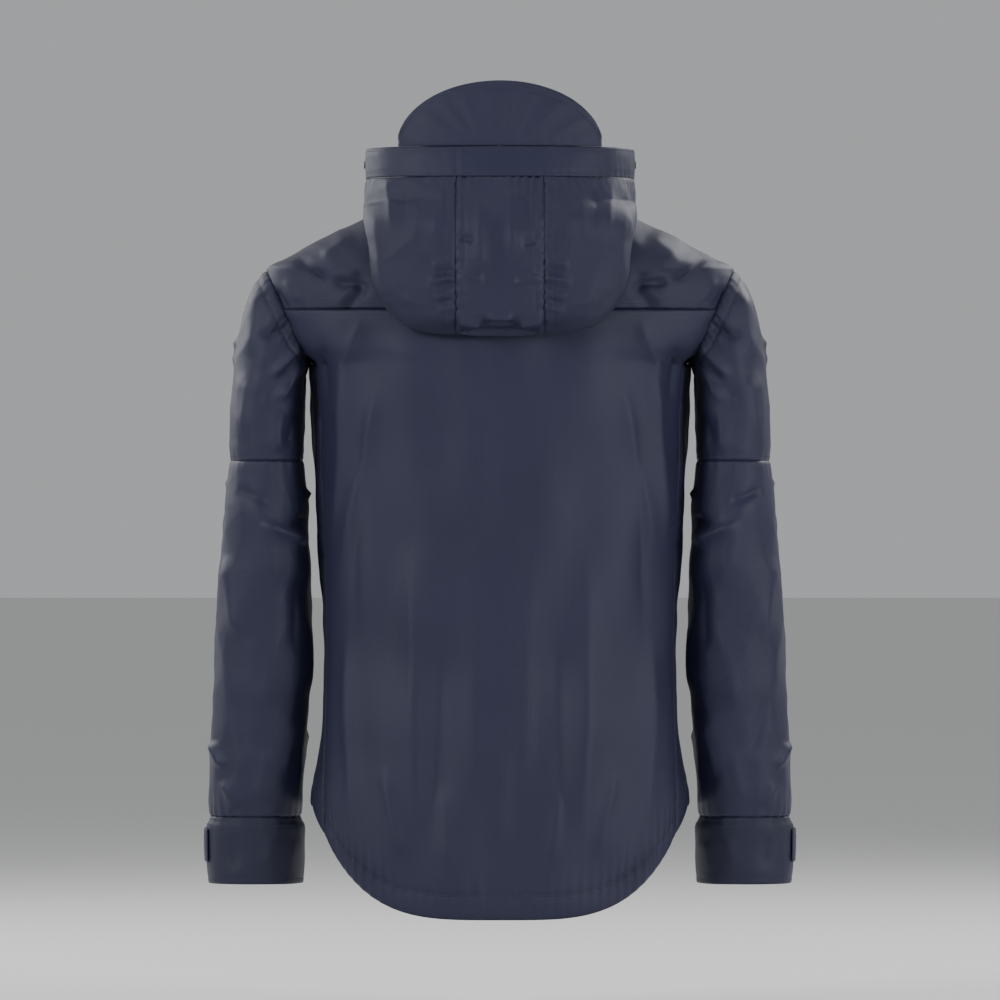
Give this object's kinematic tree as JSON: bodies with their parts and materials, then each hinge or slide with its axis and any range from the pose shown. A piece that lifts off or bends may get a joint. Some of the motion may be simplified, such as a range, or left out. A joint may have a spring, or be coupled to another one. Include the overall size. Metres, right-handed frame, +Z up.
{
  "type": "foul weather jacket",
  "caption": "Hooded foul weather jacket with a peaked hood hanging behind a stand-up collar, centre zip, flap pockets, tabbed cuffs and a dropped back hem.",
  "frame": {"origin": "middle of the underside of the hanger loop's level run, inside the back neck, where a hook bears", "axes": "+Z up with the jacket hanging, -Y the way the wearer faces, +X the wearer's left"},
  "size_m": [0.6544, 0.3245, 0.9136],
  "materials": {
    "shell": "matte coated woven polyester",
    "panel": "matte coated woven polyester, side panels and cuffs",
    "lining": "smooth woven lining",
    "fleece": "shell cloth outside, short brushed fleece inside",
    "tape": "woven tape",
    "plastic": "moulded",
    "hookAndLoop": "hook and loop pile",
    "elastic": "knitted elastic"
  },
  "bodies": {
    "torso": {"back_panel": "shell", "back_yoke": "shell", "side_panel_left": "panel", "side_panel_right": "panel", "front_side_panel_left": "shell", "front_side_panel_right": "shell", "collar_back": "fleece", "body_lining": "lining", "hem_facing": "lining", "hem_elastic": "elastic", "hanger_loop": "tape", "nape_panel": "lining"},
    "hood": {"hood_middle_panel": "shell", "hood_side_panel_left": "shell", "hood_side_panel_right": "shell", "hood_band": "shell", "peak_outer": "shell", "peak_stiffener": "plastic", "peak_lining": "lining", "hood_lining": "lining", "hood_eyelet_left": "plastic", "hood_eyelet_right": "plastic"},
    "slider": {"zip_slider": "plastic"},
    "pull": {"zip_pull": "plastic"},
    "front_left": {"front_panel_left": "shell", "collar_front_left": "fleece", "front_facing_left": "lining", "zip_tape_left": "tape", "zip_teeth_left": "plastic", "pocket_left": "shell", "pocket_patch_left": "hookAndLoop", "zip_box": "plastic"},
    "flap_left": {"pocket_flap_left": "shell"},
    "sleeve_left": {"upper_sleeve_left": "shell", "upper_sleeve_lining_left": "lining"},
    "forearm_left": {"lower_sleeve_left": "shell", "lower_sleeve_lining_left": "lining", "cuff_left": "panel", "storm_cuff_left": "elastic", "cuff_patch_left": "hookAndLoop"},
    "tab_left": {"cuff_tab_left": "panel"},
    "front_right": {"front_panel_right": "shell", "collar_front_right": "fleece", "front_facing_right": "lining", "zip_tape_right": "tape", "zip_teeth_right": "plastic", "pocket_right": "shell", "pocket_patch_right": "hookAndLoop"},
    "flap_right": {"pocket_flap_right": "shell"},
    "sleeve_right": {"upper_sleeve_right": "shell", "upper_sleeve_lining_right": "lining"},
    "forearm_right": {"lower_sleeve_right": "shell", "lower_sleeve_lining_right": "lining", "cuff_right": "panel", "storm_cuff_right": "elastic", "cuff_patch_right": "hookAndLoop"},
    "tab_right": {"cuff_tab_right": "panel"}
  },
  "joints": [
    {"name": "hood_raise", "type": "hinge", "parent": "torso", "child": "hood", "pos_m": [0, -0.058, 0.0046], "axis": [1, 0, 0], "range_deg": [0, 90], "deforming": ["nape_panel"]},
    {"name": "front_left_open", "type": "hinge", "parent": "torso", "child": "front_left", "pos_m": [0.141, -0.165, -0.3754], "axis": [-0.1131, -0.0103, 0.9935], "range_deg": [0, 70]},
    {"name": "flap_left_lift", "type": "hinge", "parent": "front_left", "child": "flap_left", "pos_m": [0.064, -0.1826, -0.4498], "axis": [-0.9861, -0.166, 0], "range_deg": [0, 130]},
    {"name": "sleeve_left_lift", "type": "hinge", "parent": "torso", "child": "sleeve_left", "pos_m": [0.259, -0.058, -0.0749], "axis": [0, -1, 0], "range_deg": [0, 60]},
    {"name": "elbow_left_bend", "type": "hinge", "parent": "sleeve_left", "child": "forearm_left", "pos_m": [0.257, -0.1275, -0.2854], "axis": [-1, 0, 0], "range_deg": [0, 90]},
    {"name": "cuff_tab_left_open", "type": "hinge", "parent": "forearm_left", "child": "tab_left", "pos_m": [0.3236, -0.0536, -0.7114], "axis": [0, 0, 1], "range_deg": [0, 120]},
    {"name": "front_right_open", "type": "hinge", "parent": "torso", "child": "front_right", "pos_m": [-0.141, -0.165, -0.3754], "axis": [-0.1131, 0.0103, -0.9935], "range_deg": [0, 70]},
    {"name": "flap_right_lift", "type": "hinge", "parent": "front_right", "child": "flap_right", "pos_m": [-0.064, -0.1826, -0.4498], "axis": [-0.9861, 0.166, 0], "range_deg": [0, 130]},
    {"name": "sleeve_right_lift", "type": "hinge", "parent": "torso", "child": "sleeve_right", "pos_m": [-0.259, -0.058, -0.0749], "axis": [0, 1, 0], "range_deg": [0, 60]},
    {"name": "elbow_right_bend", "type": "hinge", "parent": "sleeve_right", "child": "forearm_right", "pos_m": [-0.257, -0.1275, -0.2854], "axis": [-1, 0, 0], "range_deg": [0, 90]},
    {"name": "cuff_tab_right_open", "type": "hinge", "parent": "forearm_right", "child": "tab_right", "pos_m": [-0.3236, -0.0536, -0.7114], "axis": [0, 0, -1], "range_deg": [0, 120]},
    {"name": "zip_slide", "type": "slide", "parent": "front_left", "child": "slider", "axis": [0, 0.0561, 0.9984], "range_m": [0, 0.7132]},
    {"name": "zip_pull_flip", "type": "hinge", "parent": "slider", "child": "pull", "pos_m": [0, -0.19808, -0.63824], "axis": [-1, 0, 0], "range_deg": [0, 150]}
  ]
}
